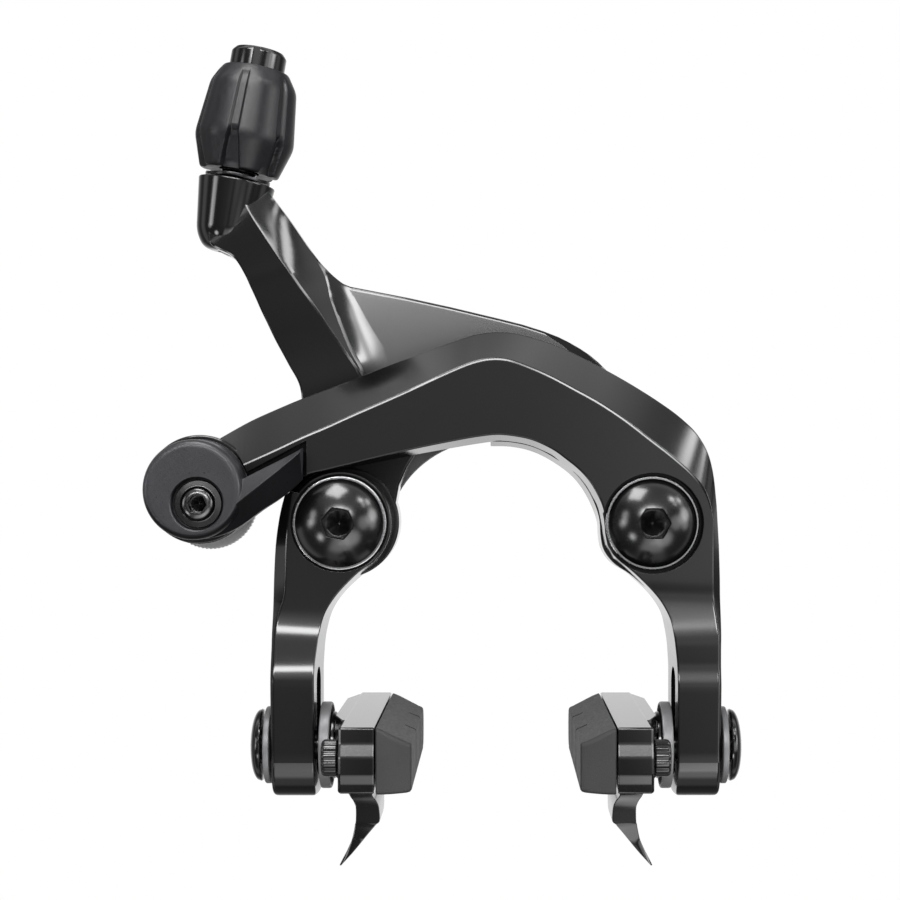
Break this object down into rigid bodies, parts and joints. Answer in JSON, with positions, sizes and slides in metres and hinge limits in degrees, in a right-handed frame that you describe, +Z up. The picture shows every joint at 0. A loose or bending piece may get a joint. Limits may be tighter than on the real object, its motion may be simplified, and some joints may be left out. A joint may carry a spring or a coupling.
{
  "type": "rim brake caliper",
  "caption": "Direct-mount dual-pivot bicycle rim brake caliper with two coupled arms, quick release, barrel adjuster and slotted pad holders.",
  "frame": {"origin": "centre of the back plate's rear face, on the wheel's mid-plane, 20 mm above the line through both mounting bolts", "axes": "+Y back towards the frame or fork, along the mounting bolts; +Z up, away from the wheel's axle; +X to the right as seen from the front"},
  "size_m": [0.1069, 0.055, 0.1451],
  "materials": {
    "black_anodised": "polished black anodised",
    "gloss_black": "gloss black",
    "satin_black": "satin dark grey",
    "knob_plastic": "matte moulded",
    "bush_bronze": "plain bearing",
    "washer_grey": "satin",
    "bright_steel": "satin",
    "pad_rubber": "matte"
  },
  "bodies": {
    "root": {"back_plate": "bright_steel", "left_mounting_bolt": "gloss_black", "right_mounting_bolt": "gloss_black", "left_head_washer": "bright_steel", "right_head_washer": "bright_steel", "left_pivot_sleeve": "bright_steel", "right_pivot_sleeve": "bright_steel", "right_rear_spacer": "washer_grey", "return_spring": "bright_steel"},
    "front_arm_body": {"front_arm": "black_anodised", "right_front_bush": "bush_bronze", "right_rear_bush": "bush_bronze", "link_roller_pin": "bright_steel"},
    "link_roller_body": {"link_roller": "bright_steel"},
    "release_body": {"release_lever": "satin_black", "release_friction_washer": "washer_grey", "cable_anchor_bolt": "bright_steel", "cable_clamp_washer": "bright_steel", "anchor_nut": "bright_steel"},
    "rear_arm_body": {"rear_arm": "black_anodised", "left_front_bush": "bush_bronze", "left_rear_bush": "bush_bronze", "contact_plate": "bright_steel", "centring_screw": "bright_steel", "adjuster_detent_spring": "bright_steel"},
    "adjuster_knob_body": {"adjuster_knob": "knob_plastic"},
    "adjuster_barrel_body": {"adjuster_barrel": "gloss_black"},
    "left_pad_carrier": {"left_outer_washer": "washer_grey", "left_inner_washer": "washer_grey"},
    "left_pad_body": {"left_pad_bolt": "gloss_black", "left_convex_washer": "gloss_black", "left_pad_holder": "gloss_black", "left_brake_pad": "pad_rubber", "left_retaining_screw": "gloss_black"},
    "right_pad_carrier": {"right_outer_washer": "washer_grey", "right_inner_washer": "washer_grey"},
    "right_pad_body": {"right_pad_bolt": "gloss_black", "right_convex_washer": "gloss_black", "right_pad_holder": "gloss_black", "right_brake_pad": "pad_rubber", "right_retaining_screw": "gloss_black"}
  },
  "joints": [
    {"name": "front_arm_swing", "type": "hinge", "parent": "root", "child": "front_arm_body", "pos_m": [0.028, -0.0195, -0.02], "axis": [0, 1, 0], "range_deg": [0, 8]},
    {"name": "rear_arm_swing", "type": "hinge", "parent": "root", "child": "rear_arm_body", "pos_m": [-0.028, -0.0195, -0.02], "axis": [0, 1, 0], "range_deg": [-8, 0]},
    {"name": "link_roller_spin", "type": "hinge", "parent": "front_arm_body", "child": "link_roller_body", "pos_m": [0, -0.0098, 0.004], "axis": [0, 1, 0], "continuous": true},
    {"name": "release_lever_turn", "type": "hinge", "parent": "front_arm_body", "child": "release_body", "pos_m": [-0.0532, -0.0195, -0.014], "axis": [0, 1, 0], "range_deg": [0, 150]},
    {"name": "adjuster_knob_turn", "type": "hinge", "parent": "rear_arm_body", "child": "adjuster_knob_body", "pos_m": [-0.04772, -0.008, 0.04458], "axis": [0.1724, 0, 0.985], "range_deg": [-720, 1080]},
    {"name": "adjuster_barrel_slide", "type": "slide", "parent": "rear_arm_body", "child": "adjuster_barrel_body", "axis": [0.1724, 0, 0.985], "range_m": [-0.0021, 0.0031]},
    {"name": "left_pad_height", "type": "slide", "parent": "rear_arm_body", "child": "left_pad_carrier", "axis": [0, 0, 1], "range_m": [-0.002, 0.006]},
    {"name": "left_pad_toe_in", "type": "hinge", "parent": "left_pad_carrier", "child": "left_pad_body", "pos_m": [-0.03675, -0.017, -0.0601], "axis": [0, 0, 1], "range_deg": [-3, 3]},
    {"name": "right_pad_height", "type": "slide", "parent": "front_arm_body", "child": "right_pad_carrier", "axis": [0, 0, 1], "range_m": [-0.002, 0.006]},
    {"name": "right_pad_toe_in", "type": "hinge", "parent": "right_pad_carrier", "child": "right_pad_body", "pos_m": [0.03675, -0.017, -0.0601], "axis": [0, 0, 1], "range_deg": [-3, 3]}
  ],
  "couplings": [
    {"joint": "rear_arm_swing", "follows": "front_arm_swing", "ratio": -1},
    {"joint": "adjuster_barrel_slide", "follows": "adjuster_knob_turn", "m_per_rad": 0.00015915}
  ]
}
